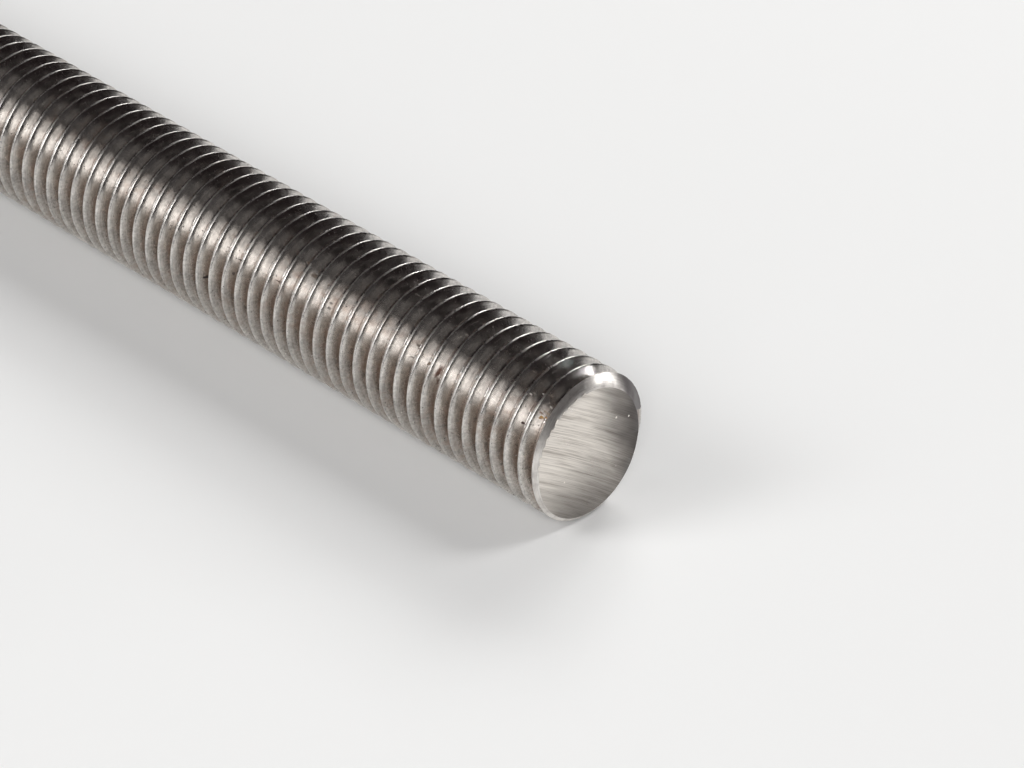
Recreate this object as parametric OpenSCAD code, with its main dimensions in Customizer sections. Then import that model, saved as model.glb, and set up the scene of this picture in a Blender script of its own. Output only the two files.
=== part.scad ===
// Threaded rod: a one inch bar with a coarse right-hand thread over its whole length.
// The back end is sawn square. The front end was sawn a little out of square, and the
// chamfer ground round it is off centre. Both ends have chamfers.
//
// The rod's axis is X. Angles round the axis start at the top (+Z) and turn towards -Y,
// so a thread that moves along +X as the angle grows is right-handed.
// All sizes are millimetres and degrees.

/* [Rod] */

// length over all, from the back face to the foremost point of the front one (12 inches)
rod_length = 304.8; // [120:0.1:330]
// diameter over the crests of the thread (1 inch coarse series, outside free class)
thread_diameter = 25.0; // [18:0.1:32]

/* [Thread] */

// distance from one crest to the next, measured along the rod (8 threads to the inch)
pitch = 3.175; // [2.4:0.005:4.5]
// angle between the two flanks of one groove
flank_angle = 60; // [50:1:70]
// width of the flat along the top of each crest
crest_flat = 0.4; // [0.2:0.05:0.8]
// width of the flat along the bottom of each groove
root_flat = 0.52; // [0.2:0.02:0.9]

/* [Front end] */

// how far back from the foremost point of the front face the last crest stands, at the
// top of the rod
crest_setback = 1.44; // [0:0.02:2.2]
// how far out of square the front face was sawn, in degrees
front_lean = 1.75; // [0:0.05:3]
// angle round the axis at which the leaning front face stands furthest forward
front_lean_angle = 123; // [0:1:359]
// radius of the flat sawn face left inside the front chamfer
front_face_radius = 11.04; // [8:0.01:12.4]
// angle between the front chamfer and the axis of the front cut
front_chamfer_angle = 58; // [30:1:65]
// how far the middle of the front cut is off the rod's axis, towards -Y
front_chamfer_side = 0.58; // [0:0.02:1.5]
// how far the middle of the front cut is off the rod's axis, downwards
front_chamfer_drop = 0.56; // [0:0.02:1.5]

/* [Back end] */

// radius of the flat sawn face left inside the back chamfer
back_face_radius = 11.0; // [8:0.05:12.4]
// angle between the back chamfer and the rod's axis
back_chamfer_angle = 45; // [30:1:60]

/* [Hidden] */

crest_radius = thread_diameter / 2;
// along the rod, one flank takes half of the pitch that the two flats leave, and the
// flank angle then sets how deep the groove is
flank_run = (pitch - crest_flat - root_flat) / 2;
thread_depth = flank_run / tan(flank_angle / 2);
root_radius = crest_radius - thread_depth;
front_x = rod_length / 2;
back_x = -rod_length / 2;
// the middle of the leaning front face stands behind its foremost point
front_middle = [
    front_x - front_face_radius * sin(front_lean),
    -front_chamfer_side,
    -front_chamfer_drop
];
// crests counted back from the front one until the thread passes the back face
turns_inside = ceil(rod_length / pitch);
// the blank runs past each face by this many turns, and the saw cuts take them off
turns_over_back = 1;
turns_over_front = 2;
first_turn = -turns_inside - turns_over_back;
turn_count = turns_inside + turns_over_back + turns_over_front;
// the profile of one pitch, as [distance along the rod, radius], from the middle of the
// crest: the crest's two edges, then the two edges of the groove's flat
profile = [
    [-crest_flat / 2, crest_radius],
    [crest_flat / 2, crest_radius],
    [crest_flat / 2 + flank_run, root_radius],
    [crest_flat / 2 + flank_run + root_flat, root_radius]
];
columns = len(profile) * turn_count + 1;
// flat steps that make one turn: as many as keep the whole thread under the facet limit,
// in fours, so that the crests reach the full diameter on both sides and at the top
facet_limit = 12900;
facets_per_step = 2 * len(profile) * turn_count;
steps_per_turn = 4 * floor(min(24, facet_limit / facets_per_step) / 4);
// room round the thread that the saw and the grinder take in
cut_margin = 2;

// a point of the rod's skin from its distance along, its radius and its angle
function on_skin(x, r, a) = [x, -r * sin(a), r * cos(a)];

// column c of the thread's skin at step s of its turn: each turn repeats the profile one
// pitch on, and the whole profile moves one pitch along for each turn of the angle
function skin_point(c, s) =
    let (
        corner = profile[c % len(profile)],
        turn = first_turn + floor(c / len(profile)),
        a = 360 * s / steps_per_turn
    )
    on_skin(front_x - crest_setback + corner[0] + (turn + s / steps_per_turn) * pitch,
        corner[1], a);

// where a point sits in the list: step s of the last turn is step 0, one profile on
function at(c, s) = s < steps_per_turn ? c * steps_per_turn + s : at(c + len(profile), 0);

// the helical blank as one closed skin: quads between neighbouring columns and steps,
// and a fan to the axis at each end
module thread_blank() {
    rows = columns - len(profile);
    hub_back = columns * steps_per_turn;
    hub_front = hub_back + 1;
    points = concat(
        [for (c = [0 : columns - 1]) for (s = [0 : steps_per_turn - 1]) skin_point(c, s)],
        [[skin_point(0, 0)[0], 0, 0],
         [skin_point(columns - 1, 0)[0], 0, 0]]);
    faces = concat(
        [for (c = [0 : rows - 2]) for (s = [0 : steps_per_turn - 1])
            each [[at(c, s), at(c + 1, s), at(c + 1, s + 1)],
                  [at(c, s), at(c + 1, s + 1), at(c, s + 1)]]],
        // back fan: round the first helix, then back along the profile at the top
        [for (s = [0 : steps_per_turn - 1]) [hub_back, at(0, s), at(0, s + 1)]],
        [for (c = [0 : len(profile) - 1]) [hub_back, at(c + 1, 0), at(c, 0)]],
        [for (s = [0 : steps_per_turn - 1])
            [hub_front, at(rows - 1, s + 1), at(rows - 1, s)]],
        [for (c = [0 : len(profile) - 1])
            [hub_front, at(rows - 1 + c, 0), at(rows + c, 0)]]);
    polyhedron(points = points, faces = faces, convexity = 4);
}

// everything beyond one sawn face and outside its chamfer, turned about the X axis with
// the middle of the face at the origin and the rod on the -X side
module end_cut(face_radius, chamfer_angle, reach) {
    far = max(crest_radius, face_radius) + cut_margin;
    rotate([0, 90, 0])
        rotate_extrude($fn = 96)
            polygon([
                [0, 0],
                [face_radius, 0],
                [far, -(far - face_radius) / tan(chamfer_angle)],
                [far, reach],
                [0, reach]
            ]);
}

module threaded_rod() {
    reach = (turns_over_front + 1) * pitch;
    color([0.66, 0.64, 0.62])
    difference() {
        thread_blank();
        translate(front_middle)
            rotate(a = front_lean, v = [0, cos(front_lean_angle), sin(front_lean_angle)])
                end_cut(front_face_radius, front_chamfer_angle, reach);
        translate([back_x, 0, 0])
            mirror([1, 0, 0])
                end_cut(back_face_radius, back_chamfer_angle, reach);
    }
}

threaded_rod();
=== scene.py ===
"""Looks of a bare steel threaded rod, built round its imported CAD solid.

The rod's axis is X and lengths are metres unless a name ends in _mm. Angles round the
axis are radians, 0 at the top (+Z) and growing towards -Y, so the right-hand thread
moves one pitch along +X for each full turn.
"""

import logging
import math
from collections.abc import Callable
from dataclasses import dataclass
from enum import Enum
from functools import partial

import bpy
import numpy as np
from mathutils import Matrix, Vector


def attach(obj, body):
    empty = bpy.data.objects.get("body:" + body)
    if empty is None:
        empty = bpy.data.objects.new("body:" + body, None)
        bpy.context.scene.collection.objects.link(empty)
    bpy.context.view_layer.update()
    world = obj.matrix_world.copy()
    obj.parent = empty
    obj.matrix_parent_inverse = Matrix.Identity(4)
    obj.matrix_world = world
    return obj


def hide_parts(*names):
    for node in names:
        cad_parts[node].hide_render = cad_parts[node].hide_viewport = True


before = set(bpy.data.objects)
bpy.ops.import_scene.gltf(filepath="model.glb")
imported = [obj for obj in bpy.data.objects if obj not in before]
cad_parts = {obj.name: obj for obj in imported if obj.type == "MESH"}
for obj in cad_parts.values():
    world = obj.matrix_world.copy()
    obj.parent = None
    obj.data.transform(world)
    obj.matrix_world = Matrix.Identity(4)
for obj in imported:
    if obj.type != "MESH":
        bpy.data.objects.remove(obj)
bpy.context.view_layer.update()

log = logging.getLogger("threaded_rod")

MM = 0.001
FULL_TURN = 2.0 * math.pi

# the rod's driving sizes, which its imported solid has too
PITCH_MM = 3.175
CREST_RADIUS_MM = 12.5
TIP_MM = 152.4
CREST_SETBACK_MM = 1.44

# how near to a surface counts as on it, and how near to each other two points are one
TOUCH = 1e-7
WELD = 0.5e-6
# a distance from the axis that nothing on the rod comes near
FAR = 1.0
# rounds in which two values that depend on each other settle
SETTLE_ROUNDS = 6


def linear(hex_colour: str) -> tuple[float, float, float, float]:
    """Turns an sRGB hex colour into the linear RGBA that a shader takes.

    Each channel c in 0..1 becomes c / 12.92 below 0.04045, else ((c + 0.055) / 1.055) ** 2.4.

    Args:
        hex_colour: six hex digits, such as "8a857f".

    Returns:
        Red, green, blue and an alpha of 1.
    """
    parts = [int(hex_colour[i : i + 2], 16) / 255 for i in (0, 2, 4)]
    lit = [c / 12.92 if c <= 0.04045 else ((c + 0.055) / 1.055) ** 2.4 for c in parts]
    return (lit[0], lit[1], lit[2], 1.0)


def on_axis_ray(x: np.ndarray, r: np.ndarray, theta: np.ndarray) -> np.ndarray:
    """Points from their distance along the rod, distance from its axis and angle."""
    return np.stack(np.broadcast_arrays(x, -r * np.sin(theta), r * np.cos(theta)), axis=-1)


def mesh_object(
    name: str, points: np.ndarray, triangles: np.ndarray, slots: np.ndarray | None = None
) -> bpy.types.Object:
    """Makes a smooth-shaded mesh object at the origin.

    Args:
        name: the object's name.
        points: an n by 3 array in the row frame, in metres.
        triangles: an m by 3 array of point numbers, ordered so that faces point outwards.
        slots: the material slot of each triangle, or None for the first.

    Returns:
        The new object, linked to the scene.
    """
    mesh = bpy.data.meshes.new(name)
    mesh.from_pydata(points, [], triangles)
    mesh.polygons.foreach_set("use_smooth", np.ones(len(triangles), bool))
    if slots is not None:
        mesh.polygons.foreach_set("material_index", slots.astype(np.int32))
    mesh.update()
    made = bpy.data.objects.new(name, mesh)
    bpy.context.scene.collection.objects.link(made)
    return made


class Face(Enum):
    """The three ways that the rod's surface was made, as material slots of its mesh."""

    THREAD = 0
    GROUND = 1
    SAWN = 2


@dataclass(frozen=True)
class ThreadForm:
    """The rolled thread's profile: round crests and roots joined by straight flanks."""

    pitch: float = PITCH_MM * MM
    crest_radius: float = CREST_RADIUS_MM * MM
    crest_round: float = 0.29 * MM
    root_round: float = 0.45 * MM
    flank_half_angle: float = math.radians(30)
    crest_steps: int = 6
    root_steps: int = 4
    flank_edge: float = 0.07

    def profile(self) -> tuple[np.ndarray, np.ndarray]:
        """Works out one pitch of the profile, from the middle of a crest to the next.

        A round of radius q ends where its normal is 90 degrees less the flank angle from
        the radial. The crest is the arc (q sin b, R - q + q cos b); the root is the same
        arc turned over, centred half a pitch on; straight flanks join their ends. Two
        points near each flank's ends, flank_edge of its width in, keep its smooth shading
        flat between them.

        Returns:
            Distances along the rod from the crest's middle, and radii, without the last
            point, which is the next crest's first.
        """
        swing = math.pi / 2 - self.flank_half_angle
        b = np.linspace(0, swing, self.crest_steps // 2 + 1)
        crest = np.stack(
            [
                self.crest_round * np.sin(b),
                self.crest_radius - self.crest_round * (1 - np.cos(b)),
            ]
        )
        reach = self.pitch / 2 - (self.crest_round + self.root_round) * math.sin(swing)
        drop = reach / math.tan(self.flank_half_angle)
        a = np.linspace(swing, 0, self.root_steps // 2 + 1)
        root_top = crest[1, -1] - drop
        root = np.stack(
            [
                self.pitch / 2 - self.root_round * np.sin(a),
                root_top - self.root_round * (np.cos(a) - math.cos(swing)),
            ]
        )
        t = np.array([self.flank_edge, 1 - self.flank_edge])
        flank = crest[:, -1:] * (1 - t) + root[:, :1] * t
        rise = np.concatenate([crest, flank, root], axis=1)
        back = rise[:, -2:0:-1].copy()
        back[0] = self.pitch - back[0]
        along, radius = np.concatenate([rise, back], axis=1)
        return along, radius

    def radius_at(self, along: np.ndarray) -> np.ndarray:
        """Reads the profile's radius anywhere along the rod.

        Args:
            along: distances from a crest's middle.

        Returns:
            The radii there.
        """
        s, r = self.profile()
        return np.interp(
            np.mod(along, self.pitch), np.append(s, self.pitch), np.append(r, r[0])
        )


@dataclass(frozen=True)
class RodEnd:
    """A sawn end with its ground chamfer.

    side is +1 for the end at +X and -1 for the one at -X. The face may lean out of
    square, and stands furthest out at lean_angle round the axis, where it touches
    tip. The chamfer is a cone round the face's own middle, which is off the rod's axis
    by (centre_y, centre_z). slope is how much its radius grows for each unit of depth
    behind the face, and waver is the size of the grinder's wandering round it.
    """

    side: int
    tip: float
    face_radius: float
    centre_y: float = 0.0
    centre_z: float = 0.0
    lean: float = 0.0
    lean_angle: float = 0.0
    slope: float = 1.0
    waver: float = 0.0

    def middle(self) -> np.ndarray:
        """The middle of the sawn face."""
        x = self.tip - self.side * self.face_radius * math.sin(self.lean)
        return np.array([x, self.centre_y, self.centre_z])

    def normal(self) -> np.ndarray:
        """Works out which way the face points.

        Its foremost place is at lean_angle, so it is tipped by lean away from there.

        Returns:
            The outward direction, of length 1.
        """
        tip = math.sin(self.lean)
        return np.array(
            [
                self.side * math.cos(self.lean),
                tip * math.sin(self.lean_angle),
                -tip * math.cos(self.lean_angle),
            ]
        )

    def outside(self, points: np.ndarray) -> np.ndarray:
        """How far points lie beyond the plane of the face."""
        return (points - self.middle()) @ self.normal()

    def reach(self, x: np.ndarray, theta: np.ndarray) -> np.ndarray:
        """Distance from the axis to the chamfer's cone along each angle.

        At depth t behind the face the cone has the radius q = face_radius + slope t, plus
        waver (sin(3 theta + 0.7) + 0.6 sin(7 theta + 2.1) - 1.6), which is never above 0.
        The ray at angle theta meets a circle of radius q centred at c where
        d = c.u + sqrt(q^2 - |c|^2 + (c.u)^2), u being the ray's direction. The depth
        depends on d where the face leans, so the two are worked out in turns.

        Args:
            x: distances along the rod.
            theta: angles round the axis.

        Returns:
            The cone's distance from the axis.
        """
        wave = self.waver * (np.sin(3 * theta + 0.7) + 0.6 * np.sin(7 * theta + 2.1) - 1.6)
        cu = -self.centre_y * np.sin(theta) + self.centre_z * np.cos(theta)
        off = self.centre_y**2 + self.centre_z**2
        d = np.full(np.broadcast(x, theta).shape, self.face_radius)
        for _ in range(SETTLE_ROUNDS):
            depth = -self.outside(on_axis_ray(x, d, theta))
            q = self.face_radius + wave + self.slope * depth
            d = cu + np.sqrt(np.maximum(q * q - off + cu * cu, 0))
        return d

    def rim(self, theta: np.ndarray, start: float, form: ThreadForm) -> np.ndarray:
        """Finds where the face's plane cuts the thread or the chamfer at each angle.

        Args:
            theta: angles round the axis.
            start: where the crest stands at angle 0.
            form: the thread's profile.

        Returns:
            Distances along the rod and distances from the axis, one row each.
        """
        middle, normal = self.middle(), self.normal()
        r = np.full(theta.shape, self.face_radius)
        for _ in range(SETTLE_ROUNDS):
            across = on_axis_ray(np.full(theta.shape, middle[0]), r, theta) - middle
            x = middle[0] - (across @ normal) / normal[0]
            thread = form.radius_at(x - start - form.pitch * theta / FULL_TURN)
            r = np.minimum(thread, self.reach(x, theta))
        return np.stack([x, r])


@dataclass(frozen=True)
class RimBurr:
    """Teeth of steel that the saw left along part of the face's rim, over the chamfer.

    Tooth k is a flake whose root lies on the rim from one angle to the next and whose tip
    stands out over the chamfer; the flakes differ by a seeded share of their size. Their
    feet are sunk in the face, they leave it at lap past the rim, lip behind the face, and
    their tips have curled back by curl.
    """

    end: RodEnd
    first: float = math.radians(2)
    last: float = math.radians(84)
    count: int = 10
    height: float = 0.42 * MM
    thickness: float = 0.07 * MM
    sunk: float = 0.15 * MM
    lap: float = 0.03 * MM
    lip: float = 0.004 * MM
    curl: float = 0.05 * MM
    seed: int = 7

    def skin(self) -> tuple[np.ndarray, np.ndarray]:
        """Works out the teeth as closed wedges, each between two five-cornered plates.

        A point at radius r and angle p round the face's middle, d behind its plane, is
        middle + r (p turned from up towards -Y, laid in the plane) - d normal.

        Returns:
            Points and triangles.
        """
        rng = np.random.default_rng(self.seed)
        step = (self.last - self.first) / self.count
        low = self.first + step * (np.arange(self.count) + rng.uniform(0, 0.12, self.count))
        high = low + step * rng.uniform(0.7, 1.0, self.count)
        tip = low + (high - low) * rng.uniform(0.15, 0.5, self.count)
        tall = self.height * rng.uniform(0.45, 1.0, self.count)
        foot = np.full(self.count, self.end.face_radius - self.sunk)
        rim = np.full(self.count, self.end.face_radius + self.lap)
        angle = np.stack([low, low, tip, high, high], 1)
        r = np.stack([foot, rim, self.end.face_radius + tall, rim, foot], 1)
        behind = np.tile(np.array([0.0, self.lip, self.curl, self.lip, 0.0]), (self.count, 1))
        front = self._place(angle, r, behind)
        back = self._place(angle, r, behind + self.thickness)
        points = np.concatenate([front, back], axis=1).reshape(-1, 3)
        corners = angle.shape[1]
        here = np.arange(corners)
        after = np.roll(here, -1)
        fan = np.array([[0, 2, 1], [0, 3, 2], [0, 4, 3]])
        wall = np.stack([here, after, after + corners], -1)
        wall_back = np.stack([here, after + corners, here + corners], -1)
        tooth = np.concatenate([fan, fan[:, ::-1] + corners, wall, wall_back])
        first_points = 2 * corners * np.arange(self.count)
        return points, (tooth[None] + first_points[:, None, None]).reshape(-1, 3)

    def _place(self, angle: np.ndarray, r: np.ndarray, behind: np.ndarray) -> np.ndarray:
        """Puts points into the row frame.

        Args:
            angle: angles round the face's middle.
            r: distances from it.
            behind: depths behind the face's plane.

        Returns:
            The points.
        """
        normal = self.end.normal()
        out = np.stack([np.zeros(angle.shape), -np.sin(angle), np.cos(angle)], -1)
        out = out - (out @ normal)[..., None] * normal
        return self.end.middle() + r[..., None] * out - behind[..., None] * normal


@dataclass(frozen=True)
class ThreadedRod:
    """The rod itself: one closed skin of thread, chamfers and sawn faces, and its burr.

    The thread is laid out longer than the rod, by back_spare turns past the back face and
    front_spare past the front crest, and then cut at both ends. Each turn has
    coarse_steps angle steps, and refine times as many out there and in the last
    fine_turns of the rod. Chamfers are sought within chamfer_turns of each tip.
    """

    form: ThreadForm = ThreadForm()
    front: RodEnd = RodEnd(
        side=1,
        tip=TIP_MM * MM,
        face_radius=11.04 * MM,
        centre_y=-0.58 * MM,
        centre_z=-0.56 * MM,
        lean=math.radians(1.75),
        lean_angle=math.radians(123),
        slope=math.tan(math.radians(58)),
        waver=0.02 * MM,
    )
    back: RodEnd = RodEnd(side=-1, tip=-TIP_MM * MM, face_radius=11.0 * MM)
    crest_setback: float = CREST_SETBACK_MM * MM
    coarse_steps: int = 48
    refine: int = 3
    fine_turns: int = 3
    back_spare: int = 2
    front_spare: int = 4
    chamfer_turns: int = 3
    seam_angle: float = -math.pi
    face_rings: int = 6
    sharp_angle: float = math.radians(32)

    def build(self) -> bpy.types.Object:
        """Makes the rod's object, with sharp edges where surfaces meet at an angle.

        Returns:
            The rod, with no materials yet.
        """
        points, triangles, slots = self.skin()
        teeth, wedges = RimBurr(self.front).skin()
        triangles = np.concatenate([triangles, wedges + len(points)])
        points = np.concatenate([points, teeth])
        slots = np.concatenate([slots, np.full(len(wedges), Face.SAWN.value)])
        rod = mesh_object("rod_thread", points, triangles, slots)
        rod.data.set_sharp_from_angle(angle=self.sharp_angle)
        return rod

    def skin(self) -> tuple[np.ndarray, np.ndarray, np.ndarray]:
        """Builds the skin as a grid of helical columns by angles.

        Column c keeps its place in the profile and climbs one pitch each turn, so its
        last point is the first of the column one profile on. At angle theta it stands at
        x = the crest's start + the column's place + pitch * theta / full turn.

        Returns:
            Points, triangles and each triangle's material slot.
        """
        s, r = self.form.profile()
        per_turn = len(s)
        pitch = self.form.pitch
        first = math.floor((self.back.tip - self.front.tip) / pitch) - self.back_spare
        turns = np.arange(first, self.front_spare)
        along = (turns[:, None] * pitch + s[None, :]).ravel()
        columns = len(along)
        steps = self.coarse_steps * self.refine
        theta = self.seam_angle + FULL_TURN * np.arange(steps + 1) / steps
        start = self.front.tip - self.crest_setback
        x = start + along[:, None] + pitch * theta[None, :] / FULL_TURN
        radius = np.broadcast_to(np.tile(r, len(turns))[:, None], x.shape).copy()
        ground = np.zeros(x.shape, bool)
        for end in (self.front, self.back):
            x, radius, on_cone = self._cut(end, x, radius, theta, start)
            ground |= on_cone
        points = on_axis_ray(x, radius, np.broadcast_to(theta[None, :], x.shape))
        points = points.reshape(-1, 3)

        number = np.arange(columns)[:, None] * (steps + 1) + np.arange(steps + 1)[None, :]
        number[:-per_turn, steps] = number[per_turn:, 0]
        is_fine = np.zeros(columns, bool)
        is_fine[: (self.back_spare + self.fine_turns) * per_turn] = True
        is_fine[columns - (self.front_spare + self.fine_turns) * per_turn :] = True
        last = columns - per_turn - 1
        triangles = self._stitch(number, is_fine, last)
        # columns past a face lie on its rim, so the outermost ones give the rim's points
        points, triangles = self._cap(points, triangles, number[last, :steps], self.front)
        points, triangles = self._cap(points, triangles, number[1, :steps], self.back)
        in_caps = np.zeros(len(points) - ground.size, bool)
        return self._weld(points, triangles, np.concatenate([ground.ravel(), in_caps]))

    def _cut(
        self, end: RodEnd, x: np.ndarray, radius: np.ndarray, theta: np.ndarray, start: float
    ) -> tuple[np.ndarray, np.ndarray, np.ndarray]:
        """Cuts one chamfer and face into the grid of columns by angles.

        Points outside the chamfer's cone are brought onto it, and points past the sawn
        face back to its rim. Where a column is outside the cone and its neighbour inside,
        the crossing lies gap / (gap - next gap) of the way between them, and the nearer
        point is first moved there, so that the edge comes out clean.

        Args:
            end: the end that is cut.
            x: distances along the rod, columns by angles.
            radius: distances from the axis, columns by angles.
            theta: the angles.
            start: where the crest stands at angle 0.

        Returns:
            The new x and radius, and which points lie on the cone.
        """
        x, radius = x.copy(), radius.copy()
        rim_x, rim_r = end.rim(theta, start, self.form)
        angle = np.broadcast_to(theta[None, :], x.shape)
        near = (end.tip - x) * end.side < self.chamfer_turns * self.form.pitch
        gap = radius - np.where(near, end.reach(x, angle), FAR)
        cross = (gap[:-1] > 0) != (gap[1:] > 0)
        share = np.where(cross, gap[:-1] / np.where(cross, gap[:-1] - gap[1:], 1), 0)
        cross_x = x[:-1] + share * (x[1:] - x[:-1])
        cross_r = radius[:-1] + share * (radius[1:] - radius[:-1])
        low = np.where(cross & (share < 0.5))
        high = np.where(cross & (share >= 0.5))
        x[low], radius[low] = cross_x[low], cross_r[low]
        x[1:][high], radius[1:][high] = cross_x[high], cross_r[high]
        cone = np.where(near, end.reach(x, angle), FAR)
        on_cone = radius > cone - TOUCH
        radius = np.minimum(radius, cone)
        past = end.outside(on_axis_ray(x, radius, angle)) > -TOUCH
        x = np.where(past, rim_x[None, :], x)
        return x, np.where(past, rim_r[None, :], radius), on_cone

    def _stitch(self, number: np.ndarray, is_fine: np.ndarray, last: int) -> np.ndarray:
        """Joins neighbouring columns with triangles.

        Two columns of the same step are joined by split quads. Where a coarse column meets
        a fine one, each coarse step is fanned to the fine steps beside it.

        Args:
            number: point numbers, columns by angles.
            is_fine: which columns have the finer angle steps.
            last: the last column to join.

        Returns:
            The triangles.
        """
        k = self.refine
        steps = number.shape[1] - 1
        both = is_fine[:last] & is_fine[1 : last + 1]
        neither = ~is_fine[:last] & ~is_fine[1 : last + 1]
        out = []
        for rows, step in ((np.where(both)[0], 1), (np.where(neither)[0], k)):
            j = np.arange(0, steps, step)
            a = number[rows][:, j]
            b = number[rows + 1][:, j]
            c = number[rows + 1][:, j + step]
            d = number[rows][:, j + step]
            out += [np.stack([a, b, c], -1), np.stack([a, c, d], -1)]
        j = np.arange(0, steps, k)
        for c in np.where(is_fine[:last] != is_fine[1 : last + 1])[0]:
            wide, narrow = (c + 1, c) if is_fine[c] else (c, c + 1)
            a0, a1 = number[wide][j], number[wide][j + k]
            f = [number[narrow][j + i] for i in range(k + 1)]
            fans = [np.stack([a0, f[i], f[i + 1]], -1) for i in range(k - 1)]
            fans += [np.stack([a0, f[k - 1], a1], -1), np.stack([a1, f[k - 1], f[k]], -1)]
            out += [t if narrow > wide else t[:, ::-1] for t in fans]
        return np.concatenate([t.reshape(-1, 3) for t in out])

    def _cap(
        self, points: np.ndarray, triangles: np.ndarray, rim: np.ndarray, end: RodEnd
    ) -> tuple[np.ndarray, np.ndarray]:
        """Closes one sawn end with rings shrunk from its rim to its middle.

        Ring i is centre + f (rim - centre), f falling evenly to 0.

        Args:
            points: all points so far.
            triangles: all triangles so far.
            rim: numbers of the rim's points, in order of angle.
            end: the end that is closed.

        Returns:
            Points and triangles with the cap added.
        """
        centre = end.middle()
        share = 1 - np.arange(1, self.face_rings) / self.face_rings
        rings = centre + share[:, None, None] * (points[rim][None] - centre)
        base, count = len(points), len(rim)
        new = np.arange(base, base + rings.shape[0] * count).reshape(-1, count)
        hub = base + new.size
        points = np.concatenate([points, rings.reshape(-1, 3), centre[None]])
        grid = np.concatenate([rim[None], new])
        after = np.roll(grid, -1, axis=1)
        cap = np.concatenate(
            [
                np.stack([grid[:-1], grid[1:], after[1:]], -1).reshape(-1, 3),
                np.stack([grid[:-1], after[1:], after[:-1]], -1).reshape(-1, 3),
                np.stack([grid[-1], np.full(count, hub), after[-1]], -1),
            ]
        )
        if end.side < 0:
            cap = cap[:, ::-1]
        return points, np.concatenate([triangles, cap])

    def _weld(
        self, points: np.ndarray, triangles: np.ndarray, ground: np.ndarray
    ) -> tuple[np.ndarray, np.ndarray, np.ndarray]:
        """Makes coinciding points one, drops collapsed triangles, and sorts the rest.

        Args:
            points: all points, with many at the same place and some unused.
            triangles: all triangles, with some of no width.
            ground: which points lie on a chamfer.

        Returns:
            Points, triangles and each triangle's material slot.
        """
        key = np.round(points / WELD).astype(np.int64)
        used = np.unique(triangles)
        _, pick, merged = np.unique(key[used], axis=0, return_index=True, return_inverse=True)
        renumber = np.full(len(points), -1)
        renumber[used] = merged.ravel()
        points, ground = points[used[pick]], ground[used[pick]]
        triangles = renumber[triangles]
        triangles = triangles[(triangles != np.roll(triangles, 1, axis=1)).all(axis=1)]
        corners = points[triangles]
        sawn = np.zeros(len(triangles), bool)
        for end in (self.front, self.back):
            sawn |= (np.abs(end.outside(corners)) < 2 * TOUCH).all(axis=1)
        chamfer = ground[triangles].all(axis=1)
        slots = np.where(chamfer, Face.GROUND.value, Face.THREAD.value)
        return points, triangles, np.where(sawn, Face.SAWN.value, slots)


class Kind(Enum):
    """Kinds of shader node: type, settings, the inputs that are given, and the output."""

    PLACE = ("TexCoord", {}, (), "Object")
    SPLIT = ("SeparateXYZ", {}, (0,), 0)
    JOIN = ("CombineXYZ", {}, (0, 1, 2), 0)
    RED = ("SeparateColor", {}, (0,), 0)
    ADD = ("Math", {"operation": "ADD"}, (0, 1), 0)
    SUBTRACT = ("Math", {"operation": "SUBTRACT"}, (0, 1), 0)
    MULTIPLY = ("Math", {"operation": "MULTIPLY"}, (0, 1), 0)
    DIVIDE = ("Math", {"operation": "DIVIDE"}, (0, 1), 0)
    MULTIPLY_ADD = ("Math", {"operation": "MULTIPLY_ADD"}, (0, 1, 2), 0)
    POWER = ("Math", {"operation": "POWER"}, (0, 1), 0)
    SQRT = ("Math", {"operation": "SQRT"}, (0,), 0)
    ARCTAN2 = ("Math", {"operation": "ARCTAN2"}, (0, 1), 0)
    MAXIMUM = ("Math", {"operation": "MAXIMUM"}, (0, 1), 0)
    # value, low, high, and what low and high become, with soft ends and held beyond them
    REMAP = ("MapRange", {"interpolation_type": "SMOOTHSTEP"}, (0, 1, 2, 3, 4), 0)
    # share, and the colours at 0 and 1. This node's inputs for each type of data have the
    # same names, so those for colours go by number
    BLEND = ("Mix", {"data_type": "RGBA", "clamp_factor": True}, (0, 6, 7), 2)
    SCALE = ("VectorMath", {"operation": "SCALE"}, (0, "Scale"), 0)
    NOISE = ("TexNoise", {}, ("Vector", "Scale", "Detail", "Roughness", "Distortion"), 0)
    CELLS = ("TexVoronoi", {}, ("Vector", "Scale"), "Distance")
    BUMP = ("Bump", {}, ("Strength", "Distance", "Height", "Normal"), 0)
    SURFACE = ("BsdfPrincipled", {}, ("Base Color", "Roughness", "Metallic", "Normal"), 0)
    OUTPUT = ("OutputMaterial", {}, ("Surface",), None)
    SKY = ("Background", {}, ("Color", "Strength"), 0)
    SKY_OUTPUT = ("OutputWorld", {}, ("Surface",), None)


Socket = bpy.types.NodeSocket
Adder = Callable[..., Socket]


def add_node(tree: bpy.types.NodeTree, kind: Kind, *values: object) -> Socket | None:
    """Adds a shader node with its settings, values and links.

    Args:
        tree: the node tree.
        kind: the kind of node.
        values: a value, or an output to link, for each of the kind's inputs. Those left
            out at the end keep their defaults.

    Returns:
        The kind's output, or None if it has none.
    """
    type_name, settings, inputs, output = kind.value
    node = tree.nodes.new("ShaderNode" + type_name)
    for key, setting in settings.items():
        setattr(node, key, setting)
    for key, value in zip(inputs, values):
        if isinstance(value, Socket):
            tree.links.new(value, node.inputs[key])
        else:
            node.inputs[key].default_value = value
    return None if output is None else node.outputs[output]


def new_material(name: str) -> tuple[bpy.types.Material, Adder]:
    """Makes an empty node material.

    Args:
        name: the material's name.

    Returns:
        The material, and the function that adds nodes to it.
    """
    material = bpy.data.materials.new(name)
    material.use_nodes = True
    material.node_tree.nodes.clear()
    return material, partial(add_node, material.node_tree)


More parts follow.
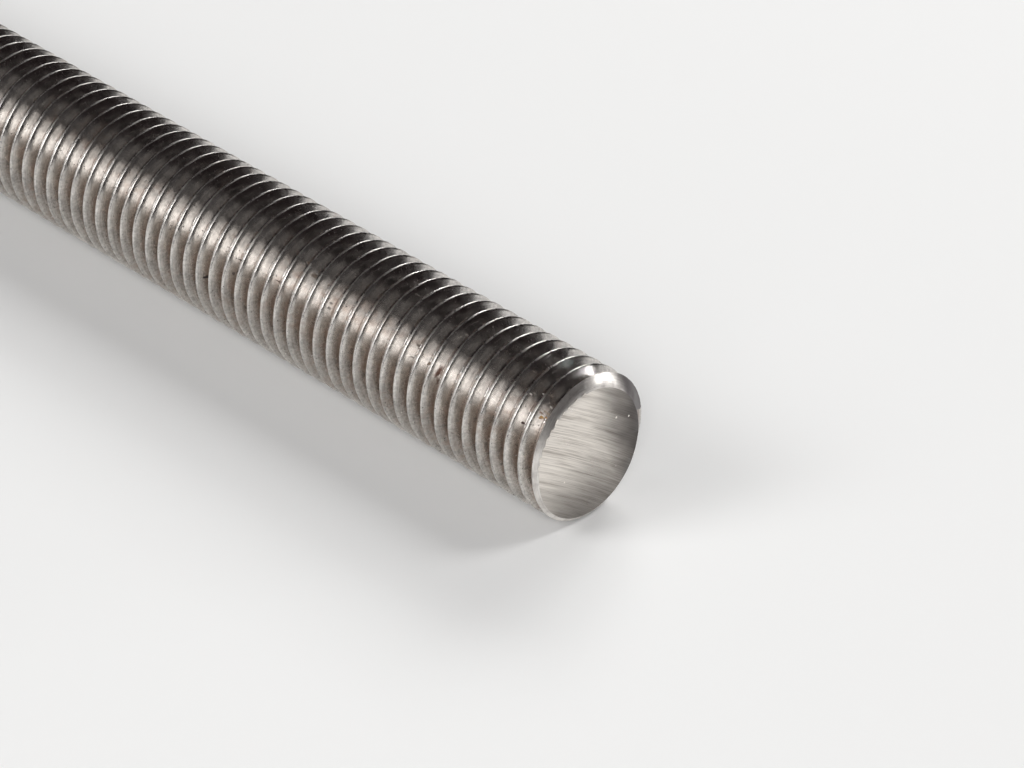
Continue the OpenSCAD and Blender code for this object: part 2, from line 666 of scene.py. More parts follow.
def place_mm(add: Adder) -> tuple[Socket, Socket, Socket]:
    """Reads the surface point's place.

    Args:
        add: adds a node.

    Returns:
        Its x, y and z in millimetres.
    """
    parts = add(Kind.SPLIT, add(Kind.PLACE)).node.outputs
    x, y, z = (add(Kind.MULTIPLY, part, 1 / MM) for part in parts)
    return x, y, z


def round_axis(add: Adder, y: Socket, z: Socket) -> tuple[Socket, Socket]:
    """Works out where a point is round the rod: atan2(-y, z) and sqrt(y^2 + z^2).

    Args:
        add: adds a node.
        y: the point's y.
        z: the point's z.

    Returns:
        Its angle round the axis, and its distance from it.
    """
    theta = add(Kind.ARCTAN2, add(Kind.MULTIPLY, y, -1.0), z)
    square = add(Kind.ADD, add(Kind.POWER, y, 2.0), add(Kind.POWER, z, 2.0))
    return theta, add(Kind.SQRT, square)


def relief(add: Adder, *layers: tuple[Socket, float]) -> Socket:
    """Stacks bumps, each on the one before.

    Args:
        add: adds a node.
        layers: for each bump, a height 0..1 and the millimetres that 1 stands for.

    Returns:
        The surface's direction.
    """
    under = ()
    for height, high_mm in layers:
        under = (add(Kind.BUMP, 1.0, high_mm * MM, height, *under),)
    return under[0]


# a noise's values lie round 0.5: nearly all of them in the wide span, most in the close one
WIDE = (0.3, 0.7)
CLOSE = (0.35, 0.65)


@dataclass(frozen=True)
class Grain:
    """An uneven pattern whose features are size_mm apart.

    A size is written as a length over how many features it holds. The second distance
    counts by the share drawn, so features are 1 / drawn times as long that way. detail is
    how many finer layers there are, roughness how strong they are, and warp how much the
    pattern is bent.
    """

    size_mm: float
    detail: float = 3.0
    roughness: float = 0.55
    warp: float = 0.0
    drawn: float = 1.0

    def on(self, add: Adder, first: Socket, second: Socket, third: Socket | float) -> Socket:
        """Lays the pattern on a surface.

        Args:
            add: adds a node.
            first: a distance in millimetres.
            second: another, along which the pattern is drawn out.
            third: a third.

        Returns:
            The pattern's value, round 0.5.
        """
        if self.drawn != 1.0:
            second = add(Kind.MULTIPLY, second, self.drawn)
        place = add(Kind.JOIN, first, second, third)
        scale = 1 / self.size_mm
        return add(Kind.NOISE, place, scale, self.detail, self.roughness, self.warp)


@dataclass(frozen=True)
class Spots:
    """Round spots scattered one to a cell, in cells of size_mm.

    A cell whose random value is about bare or less has none, and the others have radii
    up to radius. Both radius and the soft edge are shares of a cell.
    """

    size_mm: float
    bare: float
    radius: float
    edge: float
    none: float = -0.02

    def on(self, add: Adder, first: Socket, second: Socket, third: Socket | float) -> Socket:
        """Lays the spots on a surface.

        Args:
            add: adds a node.
            first: a distance in millimetres.
            second: another.
            third: a third.

        Returns:
            How much of the surface they cover, 0 or 1 but for their soft edges.
        """
        far = add(Kind.CELLS, add(Kind.JOIN, first, second, third), 1 / self.size_mm)
        own = add(Kind.RED, far.node.outputs["Color"])
        size = add(Kind.REMAP, own, self.bare, 1.0, self.none, self.radius)
        return add(Kind.REMAP, add(Kind.SUBTRACT, size, far), 0.0, self.edge)


# the number that a mark's turn gives the front crest
FRONT_CREST = 26
# how ragged a mark's edge is, and the shares of its half size where it fades out
RAGGED = 1.6
WHOLE = 0.6
GONE = 1.15


@dataclass(frozen=True)
class Mark:
    """A stain, pit or scratch on the thread, where it lies and how large it is.

    turn counts crests along the rod and FRONT_CREST is the front one, so a fraction lies
    in a groove; angle is in degrees from the top. long_mm runs round the rod and wide_mm
    along it, turned by slant degrees.
    """

    turn: float
    angle: float
    long_mm: float
    wide_mm: float
    colour: str
    slant: float = 0.0
    strength: float = 1.0

    def on(self, add: Adder, lead: Socket, around: Socket, grain: Socket) -> Socket:
        """Finds where the mark lies: an ellipse whose edge the grain breaks up.

        wide and long are the distances from its middle as shares of its half sizes, and
        off is sqrt(wide^2 + long^2) plus RAGGED times what the grain is off 0.5. The mark
        is whole up to WHOLE and gone from GONE.

        Args:
            add: adds a node.
            lead: distance along the rod, less the helix's advance.
            around: distance round the rod.
            grain: a fine noise.

        Returns:
            How much of the steel the mark covers, from 0 to its strength.
        """
        at_lead = TIP_MM - CREST_SETBACK_MM + (self.turn - FRONT_CREST) * PITCH_MM
        at_around = math.radians(self.angle) * CREST_RADIUS_MM
        c, d = math.cos(math.radians(self.slant)), math.sin(math.radians(self.slant))
        u = add(Kind.SUBTRACT, lead, at_lead)
        v = add(Kind.SUBTRACT, around, at_around)
        wide = add(Kind.MULTIPLY, v, 2 * d / self.wide_mm)
        wide = add(Kind.MULTIPLY_ADD, u, 2 * c / self.wide_mm, wide)
        long = add(Kind.MULTIPLY, v, 2 * c / self.long_mm)
        long = add(Kind.MULTIPLY_ADD, u, -2 * d / self.long_mm, long)
        square = add(Kind.ADD, add(Kind.POWER, wide, 2.0), add(Kind.POWER, long, 2.0))
        torn = add(Kind.MULTIPLY, add(Kind.SUBTRACT, grain, 0.5), RAGGED)
        off = add(Kind.ADD, add(Kind.SQRT, square), torn)
        return add(Kind.REMAP, off, WHOLE, GONE, self.strength, 0.0)


@dataclass(frozen=True)
class RolledSteel:
    """Rolled thread: satin steel, oily dirt and painted shade in the grooves, a few rust marks.

    The dirt and painted shade lie in the grooves of the rod's sides and underside, from
    dirt_and_shade_top_mm above the axis to dirt_and_shade_full_mm. The steel is painted lighter
    towards the top, from top_highlight_from_mm to top_highlight_full_mm, and on the crests, as
    painted highlights. The crests are scuffed, so their gleam is softer than the flanks'. Rust,
    soot and dust lie on the steel as a dull crust that isn't metal.
    """

    name: str = "rolled_steel"
    flank: str = "b3aca5"
    # painted highlights: the lighter steel on top, and the crests
    painted_top_highlight: str = "cdc9c5"
    crest: str = "d8d4cf"
    # dirt and painted shade in the grooves
    root: str = "9a897e"
    soot: str = "3c322e"
    # the colour of the painted glints
    bare: str = "e6e1da"
    # the steel's roughness, what scuffs, dirt and crust add to it, and how far a crust
    # stops the steel from being metal
    roughness: tuple[float, float] = (0.17, 0.23)
    scuff_dulls: float = 0.09
    dirt_dulls: float = 0.16
    crust_dulls: float = 0.3
    crusted: float = 0.85
    groove_mm: float = 2.0
    # shares of groove_mm: how far down the crest's scuffs and its painted highlight go, and
    # where dirt and painted shade begin and are full on the flanks and along the roots
    scuffed_to: float = 0.12
    crest_to: float = 0.4
    flank_dirt_and_shade: tuple[float, float] = (0.35, 0.95)
    root_dirt_and_shade: tuple[float, float] = (0.84, 1.0)
    # how far the edge of the dirt and painted shade wavers, how much of them the top keeps,
    # and how much the roots
    dirt_and_shade_waver: float = 0.12
    top_dirt_and_shade: float = 0.12
    root_cover: float = 0.75
    # where the dirt and painted shade fade to what the top keeps, and where they are full
    dirt_and_shade_top_mm: float = 6.2
    dirt_and_shade_full_mm: float = 1.2
    # heights above the axis where the painted highlight on top begins and where it is full
    top_highlight_from_mm: float = 4.2
    top_highlight_full_mm: float = 6.8
    # drag marks of the rolling dies, nine in 2 mm and much longer than wide: the real ones
    # are too fine to show, so they are drawn this coarse
    streak: Grain = Grain(2 / 9, 3.0, 0.6, drawn=0.06)
    # a film of oil, uneven in patches of nearly 2 mm
    mottle: Grain = Grain(5 / 3, 4.0, 0.6, 0.3)
    # places rubbed by handling, 8 mm across
    cloud: Grain = Grain(100 / 13, 2.0, 0.5)
    # the rolled skin's grain, four in 1 mm, also coarser than the real one
    grain: Grain = Grain(1 / 4, 3.0, 0.65)
    # dust caught in the oil, in clots of nearly half a millimetre
    grit: Grain = Grain(5 / 11, 3.0, 0.7)
    # specks of soot, up to a quarter of a millimetre across, and painted glints, bright specks
    # up to a third of one
    specks: Spots = Spots(10 / 17, 0.15, 0.21, 0.05)
    glint_specks: Spots = Spots(10 / 7, 0.7, 0.12, 0.04)
    # how far film and dust darken and lighten the steel, and what drag marks scale it by
    film_tone: tuple[float, float] = (-0.13, 0.07)
    dust_tone: tuple[float, float] = (-0.18, 0.14)
    drag_tone: tuple[float, float] = (0.86, 1.1)
    # the noise values over which drag marks, thick film and handled places set in
    drag_span: tuple[float, float] = (0.32, 0.68)
    thick_film: tuple[float, float] = (0.45, 0.6)
    handled: tuple[float, float] = (0.5, 0.66)
    # how much of the steel soot and rubbed dirt hide at the most
    soot_cover: float = 0.75
    dirt_and_reflection_cover: float = 0.45
    mottle_high_mm: float = 0.014
    streak_high_mm: float = 0.004
    grain_high_mm: float = 0.0025
    glint_high_mm: float = 0.02
    marks: tuple[Mark, ...] = ()

    def material(self) -> bpy.types.Material:
        """Makes the material.

        The patterns lie on the thread unrolled: lead is the distance along the rod less
        the helix's own advance, so it is constant along a crest, and around is the
        distance round the rod. depth is 0 at a crest and nearly 1 at a root.

        Returns:
            The material.
        """
        material, add = new_material(self.name)
        x, y, z = place_mm(add)
        theta, radius = round_axis(add, y, z)
        lead = add(Kind.SUBTRACT, x, add(Kind.MULTIPLY, theta, PITCH_MM / FULL_TURN))
        around = add(Kind.MULTIPLY, theta, CREST_RADIUS_MM)
        depth = add(Kind.DIVIDE, add(Kind.SUBTRACT, CREST_RADIUS_MM, radius), self.groove_mm)
        skin = (lead, around, radius)
        streak = self.streak.on(add, *skin)
        mottle = self.mottle.on(add, *skin)
        cloud = self.cloud.on(add, *skin)
        grain = self.grain.on(add, *skin)
        grit = self.grit.on(add, *skin)

        # bare steel, painted lighter towards the top and brightest on the crests, as painted
        # highlights
        high = add(Kind.REMAP, z, self.top_highlight_from_mm, self.top_highlight_full_mm)
        flank = add(Kind.BLEND, high, linear(self.flank), linear(self.painted_top_highlight))
        below = add(Kind.REMAP, depth, 0.0, self.crest_to)
        colour = add(Kind.BLEND, below, linear(self.crest), flank)

        # oily dirt and painted shade: down in the grooves where the rod is low, and along
        # every root
        low = add(Kind.REMAP, z, self.dirt_and_shade_full_mm, self.dirt_and_shade_top_mm, 1.0, self.top_dirt_and_shade)
        waver = add(Kind.REMAP, mottle, *WIDE, -self.dirt_and_shade_waver, self.dirt_and_shade_waver)
        edge = add(Kind.ADD, depth, waver)
        groove = add(Kind.MULTIPLY, add(Kind.REMAP, edge, *self.flank_dirt_and_shade), low)
        bottom = add(Kind.REMAP, edge, *self.root_dirt_and_shade, 0.0, self.root_cover)
        groove = add(Kind.MAXIMUM, groove, bottom)
        colour = add(Kind.BLEND, groove, colour, linear(self.root))

        # film, dust and drag marks darken and lighten it, and rubbed dirt lies in patches
        film = add(Kind.REMAP, mottle, *CLOSE, *self.film_tone)
        grime = add(Kind.ADD, film, add(Kind.REMAP, grit, *CLOSE, *self.dust_tone))
        drag = add(Kind.REMAP, streak, *self.drag_span, *self.drag_tone)
        colour = add(Kind.SCALE, colour, add(Kind.ADD, grime, drag))
        thick = add(Kind.REMAP, mottle, *self.thick_film)
        patch = add(Kind.MULTIPLY, add(Kind.REMAP, cloud, *self.handled), thick)
        patch = add(Kind.MULTIPLY, patch, self.dirt_and_reflection_cover)
        colour = add(Kind.BLEND, patch, colour, linear(self.root))

        # specks, painted glints and marks
        cover = add(Kind.MULTIPLY, self.specks.on(add, *skin), self.soot_cover)
        colour = add(Kind.BLEND, cover, colour, linear(self.soot))
        # painted glints: small bright specks, raised a little
        glint = self.glint_specks.on(add, around, lead, radius)
        colour = add(Kind.BLEND, glint, colour, linear(self.bare))
        for mark in self.marks:
            share = mark.on(add, lead, around, grain)
            colour = add(Kind.BLEND, share, colour, linear(mark.colour))
            cover = add(Kind.MAXIMUM, cover, share)

        # the crests are scuffed, and dirt and crust are duller still
        rough = add(Kind.REMAP, mottle, *WIDE, *self.roughness)
        scuff = add(Kind.REMAP, depth, 0.0, self.scuffed_to, self.scuff_dulls, 0.0)
        rough = add(Kind.ADD, rough, scuff)
        rough = add(Kind.ADD, rough, add(Kind.MULTIPLY, groove, self.dirt_dulls))
        rough = add(Kind.ADD, rough, add(Kind.MULTIPLY, cover, self.crust_dulls))
        metal = add(Kind.SUBTRACT, 1.0, add(Kind.MULTIPLY, cover, self.crusted))
        normal = relief(
            add,
            (mottle, self.mottle_high_mm),
            (streak, self.streak_high_mm),
            (grain, self.grain_high_mm),
            (glint, self.glint_high_mm),
        )
        add(Kind.OUTPUT, add(Kind.SURFACE, colour, rough, metal, normal))
        return material


@dataclass(frozen=True)
class GroundSteel:
    """Chamfer: bright steel from a grinding wheel, with fine marks round the rim.

    The side towards +Y is painted dark, from side_reflection_from_mm to side_reflection_full_mm
    off the axis, as a painted dark reflection.
    """

    name: str = "ground_steel"
    bright: str = "eae6e1"
    dull: str = "b0a9a5"
    # the colour of the painted dark reflection on the side towards +Y
    painted_side_reflection: str = "4a4446"
    roughness: tuple[float, float] = (0.28, 0.39)
    # off the axis towards +Y: where the painted dark reflection begins and where it is full
    side_reflection_from_mm: float = 5.5
    side_reflection_full_mm: float = 8.5
    # the radius at which distances round the chamfer are measured
    rim_mm: float = 11.5
    # the wheel's marks, five in 1 mm and much longer than wide: the real ones are too fine
    # to show, so they are drawn this coarse
    line: Grain = Grain(1 / 5, 3.0, 0.6, drawn=0.04)
    # where the wheel pressed more or less, 2 mm across
    mottle: Grain = Grain(2.0)
    # the noise values over which dull marks set in, and how much of them each noise gives
    dulled: tuple[float, float] = (0.4, 0.7)
    pressed_share: float = 0.6
    line_share: float = 0.4
    # how much of the steel the painted dark reflection hides
    side_reflection_cover: float = 0.9
    line_high_mm: float = 0.003

    def material(self) -> bpy.types.Material:
        """Makes the material. Its marks are a noise drawn out round the rod's axis.

        Returns:
            The material.
        """
        material, add = new_material(self.name)
        x, y, z = place_mm(add)
        theta, radius = round_axis(add, y, z)
        around = add(Kind.MULTIPLY, theta, self.rim_mm)
        line = self.line.on(add, x, around, radius)
        mottle = self.mottle.on(add, x, around, radius)
        pressed = add(Kind.REMAP, mottle, *self.dulled, 0.0, self.pressed_share)
        scored = add(Kind.REMAP, line, *self.dulled, 0.0, self.line_share)
        share = add(Kind.ADD, pressed, scored)
        colour = add(Kind.BLEND, share, linear(self.bright), linear(self.dull))
        # painted dark reflection on the side towards +Y
        side = add(Kind.REMAP, y, self.side_reflection_from_mm, self.side_reflection_full_mm, 0.0, self.side_reflection_cover)
        colour = add(Kind.BLEND, side, colour, linear(self.painted_side_reflection))
        rough = add(Kind.REMAP, mottle, *WIDE, *self.roughness)
        normal = relief(add, (line, self.line_high_mm))
        add(Kind.OUTPUT, add(Kind.SURFACE, colour, rough, 1.0, normal))
        return material


@dataclass(frozen=True)
class SawnSteel:
    """Sawn face: long, nearly parallel saw lines in bright steel.

    Towards +Y and towards the bottom the steel is painted dark, as a painted dark
    reflection. line_angle is in degrees, from +Y towards +Z.
    """

    name: str = "sawn_steel"
    bright: str = "f2ece4"
    line: str = "b2aaa2"
    # the colour of the painted dark reflection towards +Y and the bottom
    painted_dark_reflection: str = "423d3c"
    roughness: tuple[float, float] = (0.27, 0.36)
    line_angle: float = -34.9
    # how far the lines bow aside, for each square millimetre of distance along them
    bow: float = 0.003
    # lines of single teeth, eleven in 2 mm and 15 mm long: the real ones are finer, but too
    # fine to show
    fine: Grain = Grain(2 / 11, 3.0, 0.75, drawn=0.012)
    # bands where the blade fluttered, eight in 5 mm and longer than the face
    kerf: Grain = Grain(5 / 8, 1.0, 0.5, drawn=0.02)
    # areas that the blade rubbed more or less, 3 mm across and 11 mm long
    broad: Grain = Grain(10 / 3, 2.0, 0.5, drawn=0.3)
    # stretches where the lines are stronger or fainter, 1 mm across and 9 mm long
    broken: Grain = Grain(10 / 9, 3.0, 0.6, drawn=0.12)
    # chips torn out, up to half a millimetre across
    chips: Spots = Spots(20 / 7, 0.4, 0.09, 0.03)
    # the noise values over which teeth and bands set in, how dark each is, and how weak
    # and strong the lines are along their length
    teeth_span: tuple[float, float] = (0.38, 0.66)
    teeth_share: float = 0.75
    kerf_span: tuple[float, float] = (0.4, 0.65)
    kerf_share: float = 0.25
    line_strength: tuple[float, float] = (0.5, 1.15)
    # how far the border of the painted dark reflection wanders, where its side begins and is
    # full, and where its foot is full and gone
    wander_mm: float = 7.0
    side_mm: tuple[float, float] = (-1.0, 10.5)
    foot_mm: tuple[float, float] = (-11.0, 2.0)
    # how dark the painted reflection is at the foot, and how much of the steel it hides
    foot_reflection: float = 0.7
    dirt_and_reflection_cover: float = 0.95
    line_high_mm: float = 0.005

    def material(self) -> bpy.types.Material:
        """Makes the material.

        across is the distance square to the saw lines and along the distance down them.
        The noises are drawn out along the lines, and each is cut at a third distance of
        its own, so that no two are alike.

        Returns:
            The material.
        """
        material, add = new_material(self.name)
        _, y, z = place_mm(add)
        c, d = math.cos(math.radians(self.line_angle)), math.sin(math.radians(self.line_angle))
        along = add(Kind.MULTIPLY_ADD, y, c, add(Kind.MULTIPLY, z, d))
        across = add(Kind.MULTIPLY_ADD, y, -d, add(Kind.MULTIPLY, z, c))
        bow = add(Kind.MULTIPLY, add(Kind.POWER, along, 2.0), self.bow)
        across = add(Kind.ADD, across, bow)
        fine = self.fine.on(add, across, along, 0.0)
        kerf = self.kerf.on(add, across, along, 5.0)
        broad = self.broad.on(add, across, along, 9.0)
        broken = self.broken.on(add, across, along, 13.0)

        # the saw lines
        teeth = add(Kind.REMAP, fine, *self.teeth_span, 0.0, self.teeth_share)
        bands = add(Kind.REMAP, kerf, *self.kerf_span, 0.0, self.kerf_share)
        shown = add(Kind.REMAP, broken, *CLOSE, *self.line_strength)
        lines = add(Kind.MULTIPLY, add(Kind.ADD, teeth, bands), shown)
        colour = add(Kind.BLEND, lines, linear(self.bright), linear(self.line))

        # the painted dark reflection on the +Y side and at the foot
        wander = add(Kind.MULTIPLY, add(Kind.SUBTRACT, broad, 0.5), self.wander_mm)
        side = add(Kind.REMAP, add(Kind.ADD, y, wander), *self.side_mm)
        foot = add(Kind.ADD, z, wander)
        foot = add(Kind.REMAP, foot, *self.foot_mm, self.foot_reflection, 0.0)
        painted_dark_reflection = add(Kind.MULTIPLY, add(Kind.MAXIMUM, side, foot), self.dirt_and_reflection_cover)
        colour = add(Kind.BLEND, painted_dark_reflection, colour, linear(self.painted_dark_reflection))
        chip = self.chips.on(add, y, z, 0.0)
        colour = add(Kind.BLEND, chip, colour, linear(self.bright))

        rough = add(Kind.REMAP, broad, *WIDE, *self.roughness)
        normal = relief(add, (kerf, self.line_high_mm), (fine, self.line_high_mm))
        add(Kind.OUTPUT, add(Kind.SURFACE, colour, rough, 1.0, normal))
        return material


@dataclass(frozen=True)
class Viewpoint:
    """The camera: looks at a point near the rod's front end from azimuth and elevation."""

    azimuth: float = 46.6642
    elevation: float = 32.7376
    distance: float = 918.7 * MM
    target: tuple[float, float, float] = (130.02 * MM, 4.30 * MM, 0.0)
    lens_mm: float = 204.32
    sensor_mm: float = 36.0
    shift: tuple[float, float] = (-0.00244, -0.00146)
    clip: tuple[float, float] = (0.01, 100.0)

    def build(self) -> None:
        """Makes the camera and sets it as the scene's.

        It stands at target + distance * (sin a cos e, -cos a cos e, sin e), looking back.
        """
        a, e = math.radians(self.azimuth), math.radians(self.elevation)
        back = Vector((math.sin(a) * math.cos(e), -math.cos(a) * math.cos(e), math.sin(e)))
        data = bpy.data.cameras.new("camera")
        data.lens, data.sensor_width = self.lens_mm, self.sensor_mm
        data.shift_x, data.shift_y = self.shift
        data.clip_start, data.clip_end = self.clip
        camera = bpy.data.objects.new("camera", data)
        camera.location = Vector(self.target) + back * self.distance
        camera.rotation_mode = "QUATERNION"
        camera.rotation_quaternion = (-back).to_track_quat("-Z", "Y")
        bpy.context.scene.collection.objects.link(camera)
        bpy.context.scene.camera = camera


class Lit(Enum):
    """What a lamp's light falls on."""

    ALL = "all"
    FLOOR = "floor"
    ROD = "rod"


@dataclass(frozen=True)
class Lamp:
    """A square soft light that shines at aim. Its angles are in degrees.

    azimuth runs from +X towards +Y. A spread under 180 gathers the power into a cone, so
    the light is much stronger straight ahead and gives nothing outside. The camera sees
    no lamp.
    """

    name: str
    azimuth: float
    elevation: float
    size: float
    radiance: float
    lit: Lit = Lit.ALL
    flagged: bool = False
    distance: float = 1.2
    aim: tuple[float, float, float] = (120 * MM, 0.0, 0.0)
    spread: float = 180.0

    def build(
        self, receivers: dict[Lit, bpy.types.Collection], solid: bpy.types.Collection
    ) -> None:
        """Makes the light. Its power is pi times radiance times area.

        Args:
            receivers: holds what a lamp falls on, where that isn't everything.
            solid: holds the rod and the floor, which are all that shade a light unless it
                is flagged; the black flag shades the flagged ones too.
        """
        a, e = math.radians(self.azimuth), math.radians(self.elevation)
        towards = Vector((math.cos(a) * math.cos(e), math.sin(a) * math.cos(e), math.sin(e)))
        data = bpy.data.lights.new(self.name, "AREA")
        data.shape, data.size = "SQUARE", self.size
        data.energy = math.pi * self.radiance * self.size**2
        data.spread = math.radians(self.spread)
        lamp = bpy.data.objects.new(self.name, data)
        lamp.location = Vector(self.aim) + towards * self.distance
        lamp.rotation_mode = "QUATERNION"
        lamp.rotation_quaternion = towards.to_track_quat("Z", "Y")
        if self.lit in receivers:
            lamp.light_linking.receiver_collection = receivers[self.lit]
        if self.flagged:
            data.cycles.use_multiple_importance_sampling = False
        else:
            lamp.light_linking.blocker_collection = solid
        bpy.context.scene.collection.objects.link(lamp)


# what the kickers and the glimmer shine at
FRONT_END = (152 * MM, 0.0, 0.0)
LAST_CRESTS = (148 * MM, 0.0, CREST_RADIUS_MM * MM)

LAMPS = (
    Lamp("key_middle", -120, 30, 0.42, 3.75),
    Lamp("key_right", -100, 30, 0.42, 1.2),
    Lamp("key_low", -104, 10, 0.42, 1.35),
    Lamp("key_upper", -120, 50, 0.42, 1.6),
    Lamp("left_top", 180, 70, 0.6, 0.22),
    Lamp("front_fill", -40, 30, 0.42, 7.0),
    Lamp("front_side", -64, 17, 0.3, 2.7),
    Lamp("back_left", 121, 29, 0.42, 4.4),
    Lamp("back_right", 60, 50, 0.42, 0.6),
    Lamp("end_fill", 8, 18, 0.5, 0.06),
    Lamp("wall_left", 108, 30, 0.34, 9.2, Lit.FLOOR),
    Lamp("wall_middle", 132, 32, 0.34, 6.4, Lit.FLOOR),
    Lamp("wall_right", 60, 50, 0.34, 9.6, Lit.FLOOR),
    Lamp("wall_front", -120, 38, 0.42, 4.3, Lit.FLOOR),
    Lamp("wall_side", -40, 30, 0.42, 6.2, Lit.FLOOR),
    Lamp("kicker_low", 62, 5.5, 0.38, 4.8, flagged=True, aim=FRONT_END),
    Lamp("kicker_high", 48, 12, 0.3, 0.35, flagged=True, aim=FRONT_END),
    Lamp("glimmer", 134, 26, 0.045, 0.26, Lit.ROD, distance=0.13, aim=LAST_CRESTS, spread=36),
)


@dataclass(frozen=True)
class Studio:
    """A plain pale floor under the rod, soft lamps and a dim room.

    The wall lamps brighten the floor alone, so the top of the rod stays dark. The kickers
    reach only the rod's front end, past the edge of a flag that stands beside the rod. The
    glimmer is a small narrow lamp on the rod alone, for the gleam of the last few crests.
    """

    floor_level: float = -CREST_RADIUS_MM * MM
    floor_half: float = 6.0
    floor_colour: str = "ebebea"
    floor_roughness: float = 0.9
    room_colour: str = "5e5052"
    room_strength: float = 0.15
    flag_from: float = -400 * MM
    flag_to: float = 155.3 * MM
    flag_aside: float = 15 * MM
    flag_top: float = 45 * MM
    flag_colour: str = "0a0a0a"
    flag_roughness: float = 1.0
    lamps: tuple[Lamp, ...] = LAMPS

    def build(self, rod: bpy.types.Object) -> None:
        """Makes the floor, the flag, the room and the lamps.

        Args:
            rod: the rod, which shades every lamp.
        """
        floor = self._floor()
        self._flag()
        self._room()
        members = {"lit_floor": [floor], "lit_rod": [rod], "solid": [floor, rod]}
        groups = {name: bpy.data.collections.new(name) for name in members}
        for name, group in groups.items():
            for member in members[name]:
                group.objects.link(member)
        receivers = {Lit.FLOOR: groups["lit_floor"], Lit.ROD: groups["lit_rod"]}
        for lamp in self.lamps:
            lamp.build(receivers, groups["solid"])
        log.info("studio: floor, flag, room and %d lamps", len(self.lamps))

    def _floor(self) -> bpy.types.Object:
        """Makes the floor. Matt white board shows soft shadows and no gleam.

        Returns:
            The floor.
        """
        h, z = self.floor_half, self.floor_level
        corners = np.array([[-h, -h, z], [h, -h, z], [h, h, z], [-h, h, z]])
        floor = mesh_object("floor", corners, np.array([[0, 1, 2], [0, 2, 3]]))
        self._coat(floor, "matt white board", self.floor_colour, self.floor_roughness)
        return floor

    def _flag(self) -> None:
        """Makes the upright flag, which only shades the kickers. Black velvet gives no light."""
        x0, x1, y = self.flag_from, self.flag_to, self.flag_aside
        z0, z1 = self.floor_level, self.flag_top
        corners = np.array([[x0, y, z0], [x1, y, z0], [x1, y, z1], [x0, y, z1]])
        flag = mesh_object("flag", corners, np.array([[0, 1, 2], [0, 2, 3]]))
        self._coat(flag, "black velvet", self.flag_colour, self.flag_roughness)
        flag.visible_camera = flag.visible_diffuse = flag.visible_glossy = False

    def _coat(self, board: bpy.types.Object, name: str, colour: str, roughness: float) -> None:
        """Gives one of the stage's boards a plain material.

        Args:
            board: the board.
            name: the material's name.
            colour: its colour.
            roughness: its roughness.
        """
        material, add = new_material(name)
        add(Kind.OUTPUT, add(Kind.SURFACE, linear(colour), roughness))
        board.data.materials.append(material)

    def _room(self) -> None:
        """Makes the dim room, as an even light from all round."""
        world = bpy.data.worlds.new("room")
        world.use_nodes = True
        world.node_tree.nodes.clear()
        add = partial(add_node, world.node_tree)
        add(Kind.SKY_OUTPUT, add(Kind.SKY, linear(self.room_colour), self.room_strength))
        bpy.context.scene.world = world


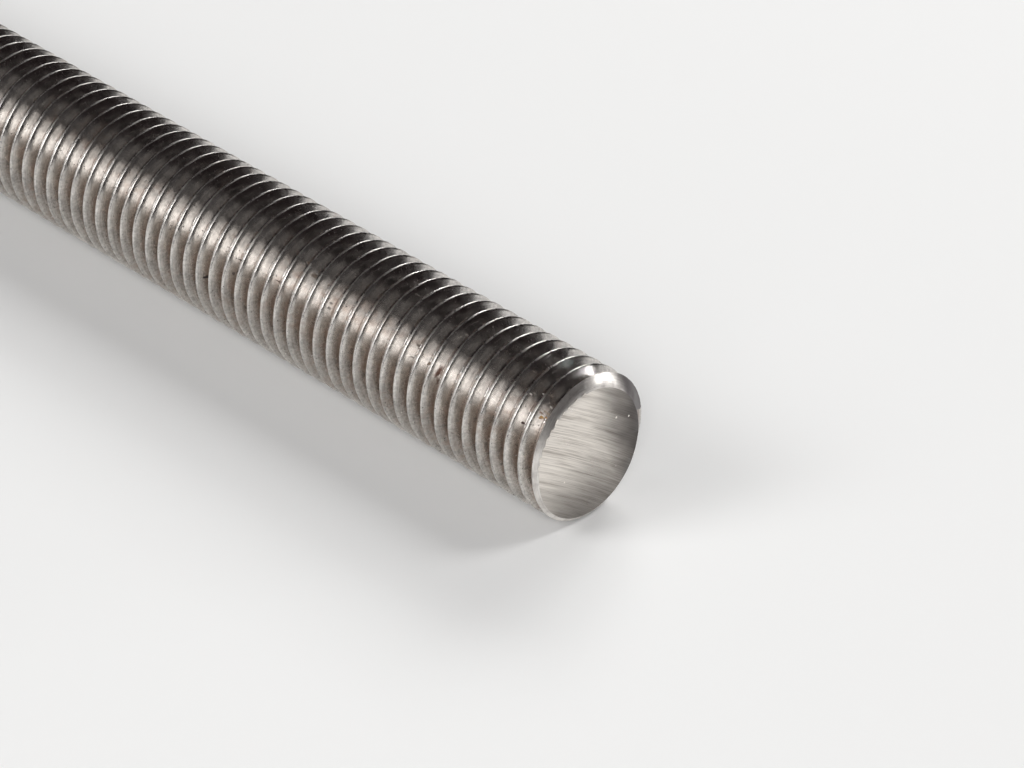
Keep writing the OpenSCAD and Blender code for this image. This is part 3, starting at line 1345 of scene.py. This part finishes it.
# rust, oil and soot in the grooves, then pale scratches and dust on the upper flanks
MARKS = (
    Mark(25.22, 42.3, 0.35, 0.4, "8a5a3a", 15, 0.7),
    Mark(25.3, 44.8, 0.4, 0.45, "d8a860", 0, 0.95),
    Mark(25.4, 43.4, 0.3, 0.3, "c08a48", 0, 0.9),
    Mark(25.26, 46.2, 0.3, 0.35, "b98a58", 0, 0.8),
    Mark(25.45, 40, 0.5, 1.6, "b39a7c", 12, 0.5),
    Mark(24.33, 56.5, 0.5, 0.35, "3a1a14"),
    Mark(18.75, 55, 2.6, 0.5, "7c4426", -5),
    Mark(18.68, 63, 1.4, 0.3, "6a3a22", 10, 0.8),
    Mark(17.54, 50, 2.0, 0.4, "7a4c30", -6),
    Mark(17.4, 53, 0.8, 0.35, "7a5a40", 20, 0.8),
    Mark(16.62, 55, 0.25, 1.5, "40302a", 25),
    Mark(16.68, 44, 0.5, 0.6, "5a4636", 0, 0.8),
    Mark(10.82, 50, 0.4, 0.4, "2a221f"),
    Mark(10.82, 54.5, 0.55, 0.45, "2a221f"),
    Mark(9.6, 37, 0.9, 0.7, "7a5c3c", 0, 0.7),
    Mark(8.75, 36, 0.9, 0.8, "7a5c3c", 0, 0.6),
    Mark(8.65, 30, 0.6, 0.5, "6e5236", 0, 0.7),
    Mark(7.4, 30, 0.6, 0.5, "6e5236", 0, 0.6),
    Mark(6.46, 56.5, 0.3, 1.4, "4a3226", 8),
    Mark(3.4, 57, 0.3, 0.5, "3a2c26"),
    Mark(3.3, 70, 0.7, 0.3, "3a2c26", 0, 0.8),
    Mark(1.45, 85, 0.35, 1.6, "3a2620", -25),
    Mark(1.3, 87, 0.5, 0.6, "241a18"),
    Mark(22.45, 89, 0.45, 0.35, "241a18"),
    Mark(13.6, 83, 0.5, 0.5, "7a5a46", 0, 0.8),
    Mark(18.45, 105, 0.6, 0.5, "5e4434", 0, 0.7),
    Mark(14.65, -3, 1.6, 0.12, "efe9e2", 12),
    Mark(14.85, 0, 0.15, 0.9, "efe9e2", 20),
    Mark(18.72, 12, 0.5, 0.3, "efe9e2"),
    Mark(18.8, 18, 1.2, 0.12, "efe9e2", -18),
    Mark(10.67, 17, 0.3, 0.3, "efe9e2"),
    Mark(24.42, 27, 0.35, 0.3, "efe9e2"),
    Mark(24.15, 34, 0.35, 0.3, "efe9e2"),
    Mark(24.83, 29, 0.3, 0.3, "efe9e2"),
    Mark(25.37, 34, 0.35, 0.3, "efe9e2"),
    Mark(25.87, 23, 0.4, 0.35, "efe9e2"),
    Mark(23.85, 11, 0.35, 0.3, "efe9e2"),
    Mark(23.4, 2, 0.3, 0.3, "efe9e2"),
)


def main() -> None:
    """Builds the camera, the rod, the studio and the finishes, in order."""
    logging.basicConfig(level=logging.INFO, format="%(message)s")
    bpy.context.scene.view_settings.view_transform = "Standard"
    Viewpoint().build()
    rod = ThreadedRod().build()
    log.info("rod: %d triangles", len(rod.data.polygons))
    Studio().build(rod)
    # in the order of Face
    for finish in (RolledSteel(marks=MARKS), GroundSteel(), SawnSteel()):
        rod.data.materials.append(finish.material())
        log.info("finish: %s", finish.name)
    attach(rod, "root")
    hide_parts("threaded_rod")


if __name__ == "__main__":
    main()
